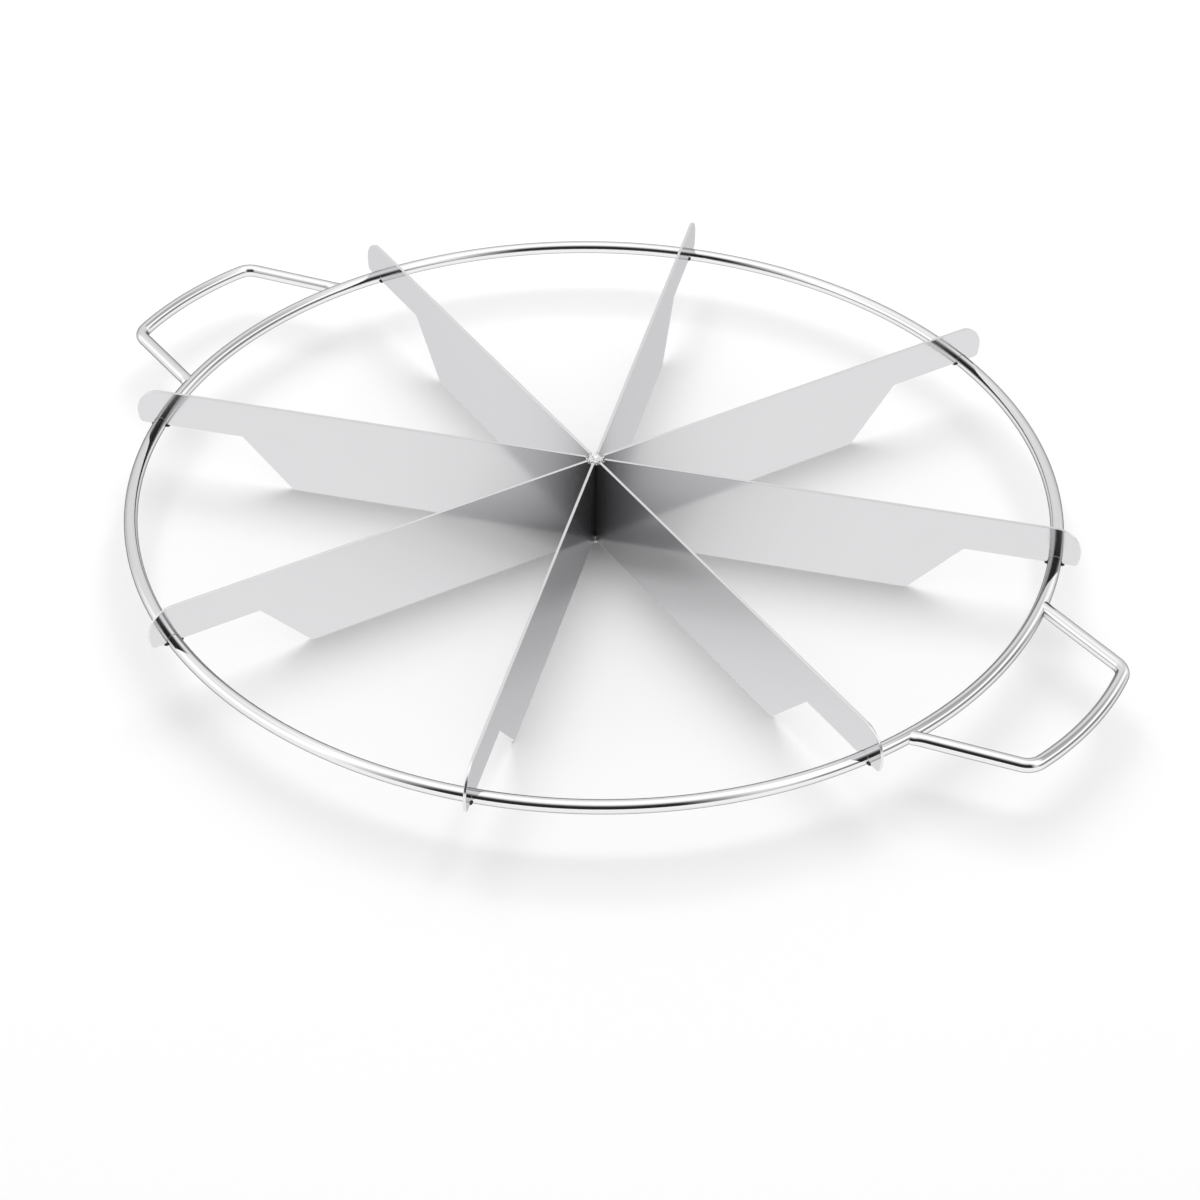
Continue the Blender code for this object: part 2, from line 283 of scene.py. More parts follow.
# %% [markdown]
# ## Electropolished weld
# The welds are small puddles of the same steel, with no filler. The whole marker is dipped and
# electropolished afterwards, which brightens what stands out most, so the welds are bright but
# uneven: a puddle freezes in ripples about 0.3 mm apart, drawn 0.9 mm apart here, with small pits.
# The puddle under the pin was shielded by the blades and froze more smoothly. The beads at the rim
# are given nearly black tones as painted shade, for the shade in the corners under the tongues.
# The finish is made three times, each with its own ripple height and its own pair of tones.

# %% Electropolished weld
RIPPLE_SPACING_MM = 0.9
PIT_SPACING_MM = 0.5
RIPPLED = 0.12 * MM
STILL = 0.02 * MM


def frozen_weld(name, ripple_height, darker, lighter):
    """A frozen puddle: ripples in height and tone, and small pits that are rougher inside."""
    material, tree, shader = new_material(name)
    place = add_node(tree, "ShaderNodeTexCoord").outputs["Object"]
    ripple = add_node(tree, "ShaderNodeTexNoise", Vector=place,
                      Scale=per_metre(RIPPLE_SPACING_MM), Detail=2.0, Distortion=0.4)
    pits = add_node(tree, "ShaderNodeTexVoronoi", Vector=place, Scale=per_metre(PIT_SPACING_MM))
    tone = add_node(tree, "ShaderNodeMix", {"data_type": "RGBA"}, _0=ripple.outputs["Fac"],
                    _6=linear(darker), _7=linear(lighter))
    blur = add_node(tree, "ShaderNodeMapRange", Value=pits.outputs["Distance"], From_Min=0.0,
                    From_Max=0.6, To_Min=0.34, To_Max=0.16)
    lumps = add_node(tree, "ShaderNodeBump", Strength=0.6, Distance=ripple_height,
                     Height=ripple.outputs["Fac"])
    finish_metal(tree, shader, tone.outputs[2], blur.outputs["Result"], lumps.outputs["Normal"])
    return material


weld = frozen_weld("electropolished_stainless_weld", RIPPLED, "#E2E2E1", "#FAFAF9")
still_weld = frozen_weld("still_frozen_stainless_weld", STILL, "#E2E2E1", "#FAFAF9")
# The rim beads' nearly black tones are painted shade, for the corners under the tongues.
shaded_rim_weld = frozen_weld("painted_shade_stainless_weld", RIPPLED, "#32302F", "#605D5B")
print("made", weld.name, still_weld.name, shaded_rim_weld.name)

# %% [markdown]
# ## The pin's rod in painted shade
# The pin stands deep between the blades. Its colour is nearly black, painted shade for the dark
# corners there: a brown-grey over a drawn surface, dull and a little uneven, in patches about 4 mm
# across.

# %% Rod in painted shade
PIN_PATCH_SPACING_MM = 4.0


def painted_shade_rod():
    """A dull, nearly black painted shade, uneven in tone and in roughness."""
    material, tree, shader = new_material("painted_shade_stainless_rod")
    place = add_node(tree, "ShaderNodeTexCoord").outputs["Object"]
    pin_patches = add_node(tree, "ShaderNodeTexNoise", Vector=place,
                     Scale=per_metre(PIN_PATCH_SPACING_MM), Detail=3.0)
    # Painted shade: the pin is coloured nearly black for the shade between the blades.
    tone = add_node(tree, "ShaderNodeMix", {"data_type": "RGBA"}, _0=pin_patches.outputs["Fac"],
                    _6=linear("#1F1D1D"), _7=linear("#34302E"))
    blur = add_node(tree, "ShaderNodeMapRange", Value=pin_patches.outputs["Fac"], From_Min=0.3,
                    From_Max=0.7, To_Min=0.40, To_Max=0.55)
    finish_metal(tree, shader, tone.outputs[2], blur.outputs["Result"])
    return material


shaded_pin_rod = painted_shade_rod()
print("made", shaded_pin_rod.name)

# %% [markdown]
# ## From a mesh to a piece
# Every piece below is built as a bmesh, Blender's editable mesh, and then put in its place the
# same way: it becomes an object, rides on the part's one body, and hides the imported solid it
# replaces. The blades and handles are built along X and turned to where they belong.

# %% Put a piece in its place
def finish_piece(name, bm, materials, nodes, turn=0.0):
    """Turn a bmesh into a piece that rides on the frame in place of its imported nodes."""
    mesh = bpy.data.meshes.new(name)
    bm.to_mesh(mesh)
    bm.free()
    for material in materials:
        mesh.materials.append(material)
    piece = bpy.data.objects.new(name, mesh)
    bpy.context.scene.collection.objects.link(piece)
    piece.rotation_euler.z = turn
    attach(piece, "root")
    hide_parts(*nodes)
    return piece


# %% [markdown]
# ## Swept wire
# The hoop and the handles all lie flat at one height, so a wire is its round section carried along
# a path in that plane. A curve with a bevel would do it too, but a mesh made ring by ring lets
# the width and the height change at a weld, and carries the map that the drawn lines follow.
#
# The first function puts a ring of points round each place on the path, square to the path. The
# second joins each ring to the next, and closes the ends of a wire that isn't a hoop.

# %% Rings round a path, and the skin over them
def wire_rings(bm, path, height, section, scales, closed):
    """A ring of points at each place on the path, its section scaled across and up."""
    count = len(path)
    rings = []
    for place, point in enumerate(path):
        before = path[place - 1] if place or closed else point
        after = path[(place + 1) % count] if place + 1 < count or closed else point
        along = (after - before).normalized()
        sideways = Vector((along.y, -along.x))
        wider, taller = scales[place]
        ring = []
        for across, up in section:
            spot = point + sideways * (across * wider)
            ring.append(bm.verts.new((spot.x, spot.y, height + up * taller)))
        rings.append(ring)
    return rings


def wire_skin(bm, rings, lengths, around, closed):
    """Faces between the rings, with the map in metres along the wire and round it."""
    count, sides = len(rings), len(rings[0])
    uv = bm.loops.layers.uv.new(WIRE_MAP)
    for place in range(count if closed else count - 1):
        near, far = rings[place], rings[(place + 1) % count]
        for side in range(sides):
            follow = (side + 1) % sides
            face = bm.faces.new((near[side], near[follow], far[follow], far[side]))
            face.smooth = True
            corners = ((place, side), (place, side + 1), (place + 1, side + 1), (place + 1, side))
            for loop, (step, corner) in zip(face.loops, corners):
                loop[uv].uv = (lengths[step], around[corner])
    if not closed:
        bm.faces.new(rings[0])
        bm.faces.new(rings[-1])


# %% [markdown]
# A sweep sets out the round section and measures the path for the map, then calls both.

# %% Sweep a round section along a flat path
def sweep(path, height, radius, sides, scales, closed):
    """A bmesh tube along a flat path. Its section is scaled across and up at each point."""
    turns = [2 * math.pi * side / sides for side in range(sides)]
    section = [(radius * math.cos(turn), radius * math.sin(turn)) for turn in turns]
    around = [2 * math.pi * radius * side / sides for side in range(sides + 1)]
    lengths = [0.0]
    for place, point in enumerate(path):
        lengths.append(lengths[-1] + (path[(place + 1) % len(path)] - point).length)
    bm = bmesh.new()
    rings = wire_rings(bm, path, height, section, scales, closed)
    wire_skin(bm, rings, lengths, around, closed)
    bmesh.ops.recalc_face_normals(bm, faces=bm.faces)
    return bm


# %% [markdown]
# ## The rim
# A length of round 3.9 mm wire is rolled into a hoop and butt welded end to end. It lies in
# notches under the blades' tongues. One closed sweep makes it: 240 steps keep its outline smooth.

# %% The rim
RIM_STEPS = 240
RIM_SIDES = 32

rim_path = []
for step in range(RIM_STEPS):
    turn = 2 * math.pi * step / RIM_STEPS
    rim_path.append(Vector((math.cos(turn), math.sin(turn))) * RIM_RADIUS)
rim_scales = [(1.0, 1.0)] * RIM_STEPS
rim_mesh = sweep(rim_path, RIM_HEIGHT, RIM_WIRE / 2, RIM_SIDES, rim_scales, closed=True)
finish_piece("rim_hoop", rim_mesh, [wire], ["rim_ring"])
print("rim length along its centre line:", round(2 * math.pi * RIM_RADIUS / MM), "mm")

# %% [markdown]
# ## The handles' path
# Each handle is a length of 3.9 mm wire with two bends. Its legs lean in from the rim, and its
# grip bows out a little. The path is built from straight lines and arcs, as a wire bender would
# state it. Half of it is made, and mirrored for the other half.

# %% The handles' centre line
HANDLE_WIRE = 3.9 * MM
ROOT_SPREAD = 69.2 * MM
GRIP_SPREAD = 49.6 * MM
BEND_X = RIM_RADIUS + 27.4 * MM
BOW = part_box("handle_right")[1].x - HANDLE_WIRE / 2 - BEND_X
BOW_STEPS = 30
BOW_STEPS_BEFORE_BEND = 25
BEND_RADIUS = 5.5 * MM
BEND_STEPS = 14
LEG_STEP = 0.5 * MM
LEG_INTO_RIM = RIM_WIRE * 0.1


def bend(before, corner, after, radius, steps):
    """Points of the arc that rounds one corner of a bent wire."""
    towards = (before - corner).normalized()
    away = (after - corner).normalized()
    half = math.acos(max(-1.0, min(1.0, towards.dot(away)))) / 2
    middle = corner + (towards + away).normalized() * (radius / math.sin(half))
    start = corner + towards * (radius / math.tan(half)) - middle
    end = corner + away * (radius / math.tan(half)) - middle
    sign = math.copysign(1.0, start.x * end.y - start.y * end.x)
    points = []
    for step in range(steps + 1):
        turn = sign * (math.pi - 2 * half) * step / steps
        points.append(middle + Matrix.Rotation(turn, 2) @ start)
    return points


def handle_path():
    """Centre line of the handle at +X, from its lower foot to its upper one."""
    half_grip = GRIP_SPREAD / 2
    bow_radius = (half_grip ** 2 + BOW ** 2) / (2 * BOW)
    bow_centre = BEND_X + BOW - bow_radius
    root = Vector((math.sqrt(RIM_RADIUS ** 2 - (ROOT_SPREAD / 2) ** 2), ROOT_SPREAD / 2))
    reach = math.asin(half_grip / bow_radius)
    grip = []
    for step in range(BOW_STEPS_BEFORE_BEND):
        turn = reach * step / BOW_STEPS
        grip.append(Vector((bow_centre + bow_radius * math.cos(turn), bow_radius * math.sin(turn))))
    rounded = bend(grip[-1], Vector((BEND_X, half_grip)), root, BEND_RADIUS, BEND_STEPS)
    start = root + (rounded[-1] - root).normalized() * LEG_INTO_RIM
    steps = int((rounded[-1] - start).length / LEG_STEP)
    leg = [rounded[-1].lerp(start, step / steps) for step in range(1, steps + 1)]
    upper = grip + [point for point in rounded if point.y > grip[-1].y] + leg
    lower = [Vector((point.x, -point.y)) for point in upper[:0:-1]]
    return lower + upper


grip_path = handle_path()
grip_length = sum(math.dist(a, b) for a, b in zip(grip_path, grip_path[1:]))
print("each handle takes", round(grip_length / MM), "mm of wire")

# %% [markdown]
# ## The handles
# The ends of each handle are butt welded to the rim's outer side. The weld widens where it runs on
# to the rim and sinks level with it, so the sweep's section changes in width and height near each
# end. The second handle is the first one turned half round.

# %% The handles
WIRE_SIDES = 24
FLARE = 0.16
FLARE_LENGTH = 2.6 * MM
FLARE_FROM_RIM = RIM_WIRE * 0.42
FOOT_SINK = 0.07


def foot_scales(path):
    """Width and height at each point: at the rim the wire is wider and a little lower."""
    scales = []
    for point in path:
        past_rim = max(point.length - RIM_RADIUS - FLARE_FROM_RIM, 0.0)
        near_rim = 1.0 - min(past_rim / FLARE_LENGTH, 1.0)
        scales.append((1.0 + FLARE * near_rim ** 3, 1.0 - FOOT_SINK * near_rim))
    return scales


grip_scales = foot_scales(grip_path)
for node, turn in (("handle_right", 0.0), ("handle_left", math.pi)):
    handle_mesh = sweep(grip_path, RIM_HEIGHT, HANDLE_WIRE / 2, WIRE_SIDES, grip_scales,
                        closed=False)
    finish_piece(node + "_wire", handle_mesh, [wire], [node], turn)
    print("made", node)

# %% [markdown]
# ## The blades' outline
# Each blade is punched from 0.8 mm sheet. From the pin it keeps its full height to a sloping step,
# then a slim tongue runs on over the rim to a tip whose top corner is round and whose end leans
# in a little. The rim sits in a notch under the tongue, and a small relief at the top of the inner
# end leaves room for the hub's weld. The outline is drawn flat, as the punch would cut it: straight
# lines, and arcs at the corners.

# %% The blades' outline
BLADE_START = 1.0 * MM
STEP_TOP = RIM_RADIUS - 26.0 * MM
STEP_RUN = 15.2 * MM
STEP_ROUNDING = 0.8 * MM
STEP_ARC = 5
NOTCH = RIM_WIRE / 2 + 0.06 * MM
NOTCH_ARC = 16
TIP = RIM_RADIUS + 7.0 * MM
TIP_TOP_RADIUS = 8.0 * MM
TIP_TOP_ARC = 24
TIP_LOWER_RADIUS = 1.3 * MM
TIP_LOWER_ARC = 8
TIP_LEAN_DEG = 9.0
RELIEF_REACH = 2.8 * MM
RELIEF_SLANT = 0.15 * MM
RELIEF_DEPTH = 0.9 * MM


def arc(centre, radius, start_deg, end_deg, steps):
    """Points on an arc, both ends included."""
    points = []
    for step in range(steps + 1):
        turn = math.radians(start_deg + (end_deg - start_deg) * step / steps)
        points.append((centre[0] + radius * math.cos(turn), centre[1] + radius * math.sin(turn)))
    return points


def softened(before, corner, after):
    """The small arc that a punch leaves at a corner of the outline."""
    rounded = bend(Vector(before), Vector(corner), Vector(after), STEP_ROUNDING, STEP_ARC)
    return [tuple(point) for point in rounded]


def blade_outline():
    """Outline of a blade seen from its side: distance from the pin's axis, and height."""
    start, foot = (BLADE_START, 0.0), (STEP_TOP - STEP_RUN, 0.0)
    shoulder = (STEP_TOP, TONGUE_UNDERSIDE)
    mouth = (RIM_RADIUS - NOTCH, TONGUE_UNDERSIDE)
    points = [start] + softened(start, foot, shoulder) + softened(foot, shoulder, mouth) + [mouth]
    points += arc((RIM_RADIUS, RIM_HEIGHT), NOTCH, 180, 0, NOTCH_ARC)
    points.append((RIM_RADIUS + NOTCH, TONGUE_UNDERSIDE))
    upper = (TIP - TIP_TOP_RADIUS, BLADE_TOP - TIP_TOP_RADIUS)
    lean = math.radians(TIP_LEAN_DEG)
    straight = upper[1] - TONGUE_UNDERSIDE - TIP_LOWER_RADIUS
    across = (TIP_TOP_RADIUS - TIP_LOWER_RADIUS - straight * math.sin(lean)) / math.cos(lean)
    lower = (upper[0] + across, TONGUE_UNDERSIDE + TIP_LOWER_RADIUS)
    points += arc(lower, TIP_LOWER_RADIUS, -90, -TIP_LEAN_DEG, TIP_LOWER_ARC)
    points += arc(upper, TIP_TOP_RADIUS, -TIP_LEAN_DEG, 90, TIP_TOP_ARC)
    relief = BLADE_TOP - RELIEF_DEPTH
    points += [(RELIEF_REACH, BLADE_TOP), (RELIEF_REACH - RELIEF_SLANT, relief)]
    points.append((BLADE_START, relief))
    return points


outline = blade_outline()
print("blade outline:", len(outline), "points, to", round(TIP / MM, 1), "mm from the pin's axis")

# %% [markdown]
# ## The blades
# The outline is given the sheet's thickness, and its edges are rounded by 0.12 mm, as tumbling
# leaves them: that thin rounding is what catches the light. The flat faces get the sheet's finish
# and the rest the edge's.
#
# Smooth shading would let the rounding bend the mirror of the flat faces, so the normals are
# weighted by area: the large faces win, and only the thin rounding turns.

# %% The blades
SHEET = 0.8 * MM
EDGE_ROUNDING = 0.12 * MM
SQUARE_TO_SHEET = 0.999
LARGE_FACES_WIN = 100


def make_blade(number):
    """One blade: the outline given the sheet's thickness, with rounded edges."""
    bm = bmesh.new()
    corners = [bm.verts.new((along, -SHEET / 2, up)) for along, up in outline]
    face = bm.faces.new(corners)
    grown = bmesh.ops.extrude_face_region(bm, geom=[face])
    moved = [item for item in grown["geom"] if isinstance(item, bmesh.types.BMVert)]
    bmesh.ops.translate(bm, vec=(0, SHEET, 0), verts=moved)
    bmesh.ops.recalc_face_normals(bm, faces=bm.faces)
    rims = [line for line in bm.edges if abs(line.verts[0].co.y - line.verts[1].co.y) < SHEET / 2]
    bmesh.ops.bevel(bm, geom=rims, offset=EDGE_ROUNDING, segments=3, affect="EDGES", profile=0.5,
                    clamp_overlap=True)
    for face in bm.faces:
        face.smooth = True
        face.material_index = 0 if abs(face.normal.y) > SQUARE_TO_SHEET else 1
    name = f"blade_{number}_sheet"
    piece = finish_piece(name, bm, [sheet, edge], [f"blade_{number}"], blade_angle(number))
    piece.modifiers.new("flat_faces_stay_flat", "WEIGHTED_NORMAL").weight = LARGE_FACES_WIN
    return piece


for number in range(1, BLADE_COUNT + 1):
    blade = make_blade(number)
print("each blade has", len(blade.data.polygons), "faces")

# %% [markdown]
# ## The hub's welds
# The blades' inner ends stand against a thin pin, and a puddle of weld over each end joins them
# all. The top one shows as a bright lobed bead: it swells between the blades and is pulled thin
# where it wets them, and its middle sinks as it cools. The relief at the corner of each blade
# keeps the puddle from running out along the edge, and shows as a dark dot. The lower one has
# steep sides and lies flat on the table's plane.
#
# Each bead is made of rings. A profile gives their distance from the axis and their height, both
# in millimetres, and the angle to the blades makes the lobes.

# %% The hub's welds
HUB_SIDES = 96
HUB_LOBE = 0.11
HUB_SINK = 0.09 * MM
HUB_SINK_REACH_MM = 1.6
TOP_PROFILE = ((0.30, -0.50), (0.60, -0.44), (0.85, -0.28), (1.10, -0.10), (1.35, 0.0),
               (1.60, -0.06), (1.82, -0.26), (1.98, -0.60), (2.04, -1.0), (1.95, -1.5))
BOTTOM_PROFILE = ((0.50, 0.0), (2.50, 0.0), (2.70, 0.05), (2.74, 0.16), (2.66, 0.50),
                  (2.55, 0.86), (2.43, 1.22), (2.24, 1.44), (1.90, 1.60), (1.20, 1.8))


def hub_weld_bead(name, node, base, sunk, profile, finish):
    """The puddle over one end of the pin. Where it wets a blade, it sinks by twice sunk."""
    bm = bmesh.new()
    full_lobe_at = profile[-2][0]
    rings = []
    for distance, height in profile:
        ring = []
        for side in range(HUB_SIDES):
            turn = 2 * math.pi * side / HUB_SIDES
            lobe = -math.cos(BLADE_COUNT * (turn - blade_angle(1))) * distance / full_lobe_at
            radius = distance * MM * (1 + HUB_LOBE * lobe)
            sink = sunk * (1 - lobe) * min(distance, HUB_SINK_REACH_MM) / HUB_SINK_REACH_MM
            level = base + height * MM - sink
            ring.append(bm.verts.new((radius * math.cos(turn), radius * math.sin(turn), level)))
        rings.append(ring)
    for inner, outer in zip(rings, rings[1:]):
        for side in range(HUB_SIDES):
            bm.faces.new((inner[side - 1], outer[side - 1], outer[side], inner[side]))
    bm.faces.new(rings[0])
    bm.faces.new(rings[-1])
    bmesh.ops.recalc_face_normals(bm, faces=bm.faces)
    for face in bm.faces:
        face.smooth = True
    return finish_piece(name, bm, [finish], [node])


hub_weld_bead("hub_weld_bead_top", "hub_weld_top", BLADE_TOP, HUB_SINK, TOP_PROFILE, weld)
hub_weld_bead("hub_weld_bead_bottom", "hub_weld_bottom", 0.0, 0.0, BOTTOM_PROFILE, still_weld)
print("made the hub's two welds")

# %% [markdown]
# ## The pin
# The pin is a short piece of rod. Its ends have melted into the two puddles, so it stops 0.8 mm
# short of the blades' edges above and below. A plain cylinder makes it: little of it can be seen
# between the blades.

# %% The pin
PIN_SIDES = 24
PIN_RADIUS = (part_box("centre_pin")[1].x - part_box("centre_pin")[0].x) / 2
PIN_LENGTH = BLADE_TOP - 1.6 * MM

pin_mesh = bmesh.new()
bmesh.ops.create_cone(pin_mesh, cap_ends=True, segments=PIN_SIDES, radius1=PIN_RADIUS,
                      radius2=PIN_RADIUS, depth=PIN_LENGTH,
                      matrix=Matrix.Translation((0, 0, BLADE_TOP / 2)))
for face in pin_mesh.faces:
    face.smooth = len(face.verts) == 4
finish_piece("centre_pin_rod", pin_mesh, [shaded_pin_rod], ["centre_pin"])
print(f"pin {2 * PIN_RADIUS / MM:.1f} mm thick and {PIN_LENGTH / MM:.1f} mm long")

# %% [markdown]
# ## The welds at the rim
# Under each tongue a small bead on either side of the wire fixes it in its notch. Each is a
# flattened drop that runs a little into the wire and the blade, with a slight ripple. Their dark
# colour is painted shade, so from above they show as the small dark ticks beside the rim.

# %% The rim welds
DROP_SIZE = (0.88 * MM, 0.88 * MM, 0.60 * MM, 1.0)
DROP_OFFSET = 0.15 * MM
DROP_RIPPLE = 0.02 * MM
DROP_RIPPLE_SPACING = 0.11 * MM


def rim_weld(number, side):
    """One drop beside the rim: side is -1 inside it and 1 outside it."""
    where = "inner" if side < 0 else "outer"
    distance = RIM_RADIUS + side * (RIM_WIRE / 2 + DROP_OFFSET)
    centre = Matrix.Translation((distance, 0, TONGUE_UNDERSIDE - DROP_OFFSET))
    bm = bmesh.new()
    bmesh.ops.create_icosphere(bm, subdivisions=3, radius=1.0,
                               matrix=centre @ Matrix.Diagonal(DROP_SIZE))
    for vert in bm.verts:
        vert.co.z += math.sin(vert.co.x / DROP_RIPPLE_SPACING) * DROP_RIPPLE
    for face in bm.faces:
        face.smooth = True
    name = f"rim_weld_bead_{number}_{where}"
    node = f"rim_weld_{number}_{where}"
    finish_piece(name, bm, [shaded_rim_weld], [node], blade_angle(number))


for number in range(1, BLADE_COUNT + 1):
    rim_weld(number, -1)
    rim_weld(number, 1)
print("made", 2 * BLADE_COUNT, "rim welds")

# %% [markdown]
# ## The floor
# The marker stands on a plain pale floor with no gloss. It is one large square, a hair below the
# marker, so that the two don't share a plane.

# %% The floor
FLOOR_SIZE = 6.0
FLOOR_DROP = 0.02 * MM

floor_mesh = bpy.data.meshes.new("floor")
half = FLOOR_SIZE / 2
floor_mesh.from_pydata([(-half, -half, 0), (half, -half, 0), (half, half, 0), (-half, half, 0)],
                       [], [(0, 1, 2, 3)])
floor = bpy.data.objects.new("floor", floor_mesh)
bpy.context.scene.collection.objects.link(floor)
floor.location.z = -FLOOR_DROP
floor_material, floor_tree, floor_shader = new_material("matt_white_table")
floor_shader.inputs["Base Color"].default_value = linear("#F6F6F6")
floor_shader.inputs["Roughness"].default_value = 0.9
floor_shader.inputs["Specular IOR Level"].default_value = 0.0
floor_mesh.materials.append(floor_material)
print("floor", FLOOR_SIZE, "m wide")

# %% [markdown]
# ## The shade that the blades mirror
# The blades mirror the floor. Under the hub it lies in their shade, which reaches furthest towards
# the front because the light comes from above and behind. Mirrors see that shade as a soft ramp
# round the hub, three times as long in front and shorter behind. Light Path's Is Glossy Ray keeps
# it to mirrors, so the floor itself keeps its real shadow.
#
# The coordinates are turned to the photograph's own axes, with the shade's centre at their origin:
# X to the right and Y away.

# %% The shade that the blades mirror
VIEW_TURN = math.radians(36.65)
SHADE_REACH = 100 * MM
SHADE_CENTRE = (0.8 * MM, -8.2 * MM)
SHADE_IN_FRONT = 3.0
SHADE_BEHIND = 0.61
SHADE_UNDER_HUB = ((0.0, 0.35), (0.06, 0.40), (0.12, 0.62), (0.18, 0.71), (0.25, 0.84),
                   (0.35, 0.92), (0.50, 0.98), (0.70, 1.0))


def grey_stops(ramp, stops):
    """Set a ramp's stops from pairs of place and grey level."""
    while len(ramp.elements) > 1:
        ramp.elements.remove(ramp.elements[-1])
    ramp.elements[0].position = stops[0][0]
    ramp.elements[0].color = (stops[0][1],) * 3 + (1.0,)
    for place, level in stops[1:]:
        ramp.elements.new(place).color = (level, level, level, 1.0)


floor_place = add_node(floor_tree, "ShaderNodeTexCoord").outputs["Object"]
from_hub = add_node(floor_tree, "ShaderNodeMapping", Vector=floor_place,
                    Rotation=(0.0, 0.0, -VIEW_TURN),
                    Location=(-SHADE_CENTRE[0], -SHADE_CENTRE[1], 0))
split = add_node(floor_tree, "ShaderNodeSeparateXYZ", Vector=from_hub.outputs[0])
behind = add_node(floor_tree, "ShaderNodeMath", {"operation": "MULTIPLY"},
                  _0=split.outputs["Y"], _1=1.0 / SHADE_BEHIND)
in_front = add_node(floor_tree, "ShaderNodeMath", {"operation": "MULTIPLY"},
                    _0=split.outputs["Y"], _1=-1.0 / SHADE_IN_FRONT)
along_view = add_node(floor_tree, "ShaderNodeMath", {"operation": "MAXIMUM"},
                      _0=behind.outputs[0], _1=in_front.outputs[0])
stretched = add_node(floor_tree, "ShaderNodeCombineXYZ", X=split.outputs["X"],
                     Y=along_view.outputs[0])
outward = add_node(floor_tree, "ShaderNodeVectorMath", {"operation": "LENGTH"},
                   _0=stretched.outputs[0])
reached = add_node(floor_tree, "ShaderNodeMath", {"operation": "DIVIDE"},
                   _0=outward.outputs["Value"], _1=SHADE_REACH)
shade = add_node(floor_tree, "ShaderNodeValToRGB", Fac=reached.outputs[0])
grey_stops(shade.color_ramp, SHADE_UNDER_HUB)
mirrored_floor = add_node(floor_tree, "ShaderNodeEmission", Color=shade.outputs["Color"],
                          Strength=1.0)
floor_ray = add_node(floor_tree, "ShaderNodeLightPath")
floor_mix = add_node(floor_tree, "ShaderNodeMixShader", _0=floor_ray.outputs["Is Glossy Ray"],
                     _1=floor_shader.outputs[0], _2=mirrored_floor.outputs[0])
floor_tree.links.new(floor_mix.outputs[0], floor_tree.nodes["Material Output"].inputs["Surface"])
print("shade centred", SHADE_CENTRE, "m from the hub")

# %% [markdown]
# ## The light tent's walls
# Polished steel is only as good as what it mirrors, so the world is a light tent that shows only
# in mirrors. Its walls are bright, and the back one is greyer. Soft seams run high up along the
# left and from the right to the back. Low on the right the wall leaves a gap, which draws the thin
# dark line along the hoop's inner side. The one dark opening at the front draws the dark stripes
# along the wires.
#
# Each of these has two ramps of grey, one across and one up. Places on a ramp across are shares of
# a turn: 0 and 1 lie straight behind the marker, 0.25 to its left, 0.5 in front and 0.75 to its
# right. Places on a ramp up are the sine of the height above the horizon. A level of 1 means white
# for a wall, and fully there for the seams, the gap and the opening.

# %% The light tent's walls
TENT_ACROSS = {
    "back wall": ((0.0, 1.0), (0.145, 1.0), (0.190, 0.0), (0.855, 0.0), (0.910, 1.0), (1.0, 1.0)),
    "seams": ((0.0, 0.0), (0.140, 0.0), (0.180, 0.25), (0.240, 0.25), (0.280, 0.0), (0.740, 0.0),
              (0.785, 0.60), (0.945, 0.60), (0.975, 0.0), (1.0, 0.0)),
    "gap": ((0.0, 0.0), (0.600, 0.0), (0.640, 0.80), (0.795, 0.80), (0.845, 0.0), (1.0, 0.0)),
    "opening": ((0.0, 0.0), (0.336, 0.0), (0.372, 0.5), (0.408, 1.0), (0.558, 1.0), (0.594, 0.5),
                (0.630, 0.0), (1.0, 0.0)),
}
TENT_UP = {
    "side wall": ((0.0, 0.45), (0.04, 1.0), (1.0, 1.0)),
    "back wall": ((0.0, 0.30), (0.02, 0.38), (0.07, 0.68), (0.62, 0.70), (0.82, 0.86),
                  (0.92, 1.0)),
    "seams": ((0.0, 0.0), (0.60, 0.0), (0.70, 1.0), (0.80, 1.0), (0.90, 0.0), (1.0, 0.0)),
    "gap": ((0.0, 1.0), (0.30, 1.0), (0.48, 0.0), (1.0, 0.0)),
    "opening": ((0.0, 1.0), (0.64, 1.0), (0.72, 0.88), (0.82, 0.62), (0.91, 0.28), (0.98, 0.0)),
}
DARK_GREYS = {"seams": 0.0, "gap": 0.0, "opening": 0.02}
print("laid over the walls:", ", ".join(DARK_GREYS))

# %% [markdown]
# ## Where a ray looks
# The world's coordinates give the direction in which a ray leaves the scene. Its Z is the place on
# the ramps up. Two dot products say how far it points to the front and to the right, and their
# arctangent gives the place on the ramps across.

# %% Where a ray looks
FRONT = (math.sin(VIEW_TURN), -math.cos(VIEW_TURN), 0.0)
RIGHT = (math.cos(VIEW_TURN), math.sin(VIEW_TURN), 0.0)

world = bpy.data.worlds.new("light_tent")
bpy.context.scene.world = world
world.use_nodes = True
sky_tree = world.node_tree
sky_tree.nodes.clear()
towards = add_node(sky_tree, "ShaderNodeTexCoord").outputs["Generated"]
upward = add_node(sky_tree, "ShaderNodeSeparateXYZ", Vector=towards).outputs["Z"]
frontward = add_node(sky_tree, "ShaderNodeVectorMath", {"operation": "DOT_PRODUCT"},
                     _0=towards, _1=FRONT)
rightward = add_node(sky_tree, "ShaderNodeVectorMath", {"operation": "DOT_PRODUCT"},
                     _0=towards, _1=RIGHT)
compass = add_node(sky_tree, "ShaderNodeMath", {"operation": "ARCTAN2"},
                   _0=rightward.outputs["Value"], _1=frontward.outputs["Value"])
round_tent = add_node(sky_tree, "ShaderNodeMath", {"operation": "MULTIPLY_ADD"},
                      _0=compass.outputs[0], _1=0.5 / math.pi, _2=0.5).outputs[0]
